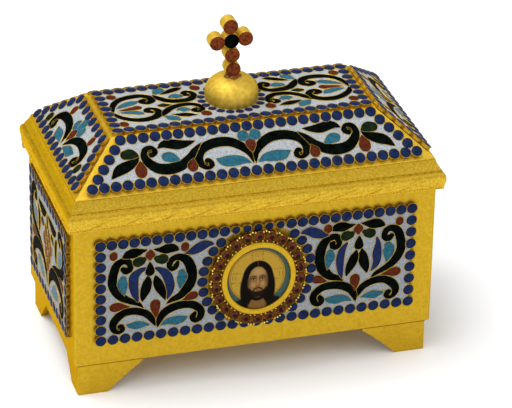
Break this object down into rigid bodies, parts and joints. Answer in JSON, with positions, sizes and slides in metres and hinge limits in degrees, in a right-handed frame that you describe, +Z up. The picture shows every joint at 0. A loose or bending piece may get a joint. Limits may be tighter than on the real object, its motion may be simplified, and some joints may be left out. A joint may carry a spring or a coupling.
{
  "type": "reliquary casket",
  "caption": "Rectangular reliquary casket with a hinged hipped lid, lobed enamel plates, a stone-ringed miniature, a dome with a small cross and bracket feet.",
  "frame": {"origin": "on the floor, under the middle of the outer box", "axes": "+X to the right along the long side, +Y from the front to the hinge at the back, +Z up"},
  "size_m": [0.1872, 0.105, 0.1707],
  "materials": {
    "gilt_brass": "gilded sheet and cast brass, satin with fine handling marks",
    "polished_brass": "gilded and polished bright",
    "enamel": "fired opaque enamel between gilt wires, glossy",
    "garnet": "faceted, polished, deep red-brown",
    "red_enamel": "fired opaque enamel, mottled, satin",
    "black_enamel": "fired opaque enamel, glossy",
    "painted_enamel": "painted and fired enamel under a clear gloss"
  },
  "bodies": {
    "casket": {"casket_body": "gilt_brass", "foot_front_left": "gilt_brass", "foot_front_right": "gilt_brass", "foot_back_left": "gilt_brass", "foot_back_right": "gilt_brass", "panel_front": "enamel", "panel_right": "enamel", "panel_back": "enamel", "panel_left": "enamel", "medallion_setting": "gilt_brass", "medallion_bezel": "polished_brass", "icon": "painted_enamel", "garnet_01": "garnet", "garnet_02": "garnet", "garnet_03": "garnet", "garnet_04": "garnet", "garnet_05": "garnet", "garnet_06": "garnet", "garnet_07": "garnet", "garnet_08": "garnet", "garnet_09": "garnet", "garnet_10": "garnet", "garnet_11": "garnet", "garnet_12": "garnet", "garnet_13": "garnet", "garnet_14": "garnet", "garnet_15": "garnet", "garnet_16": "garnet", "garnet_17": "garnet", "garnet_18": "garnet", "garnet_19": "garnet", "garnet_20": "garnet", "garnet_21": "garnet", "garnet_22": "garnet", "hinge_knuckle_1": "polished_brass", "hinge_knuckle_3": "polished_brass", "hinge_knuckle_5": "polished_brass", "hinge_pin": "polished_brass"},
    "lid": {"lid_cornice": "gilt_brass", "lid_roof": "gilt_brass", "lid_panel_front": "enamel", "lid_panel_right": "enamel", "lid_panel_back": "enamel", "lid_panel_left": "enamel", "lid_panel_top": "enamel", "dome": "polished_brass", "cross": "polished_brass", "cross_disc_lowest": "red_enamel", "cross_disc_lower": "red_enamel", "cross_disc_centre": "black_enamel", "cross_disc_left": "red_enamel", "cross_disc_right": "red_enamel", "cross_disc_top": "red_enamel", "hinge_knuckle_2": "polished_brass", "hinge_knuckle_4": "polished_brass"}
  },
  "joints": [
    {"name": "lid_hinge", "type": "hinge", "parent": "casket", "child": "lid", "pos_m": [0, 0.0503, 0.0893], "axis": [-1, 0, 0], "range_deg": [0, 110]}
  ]
}
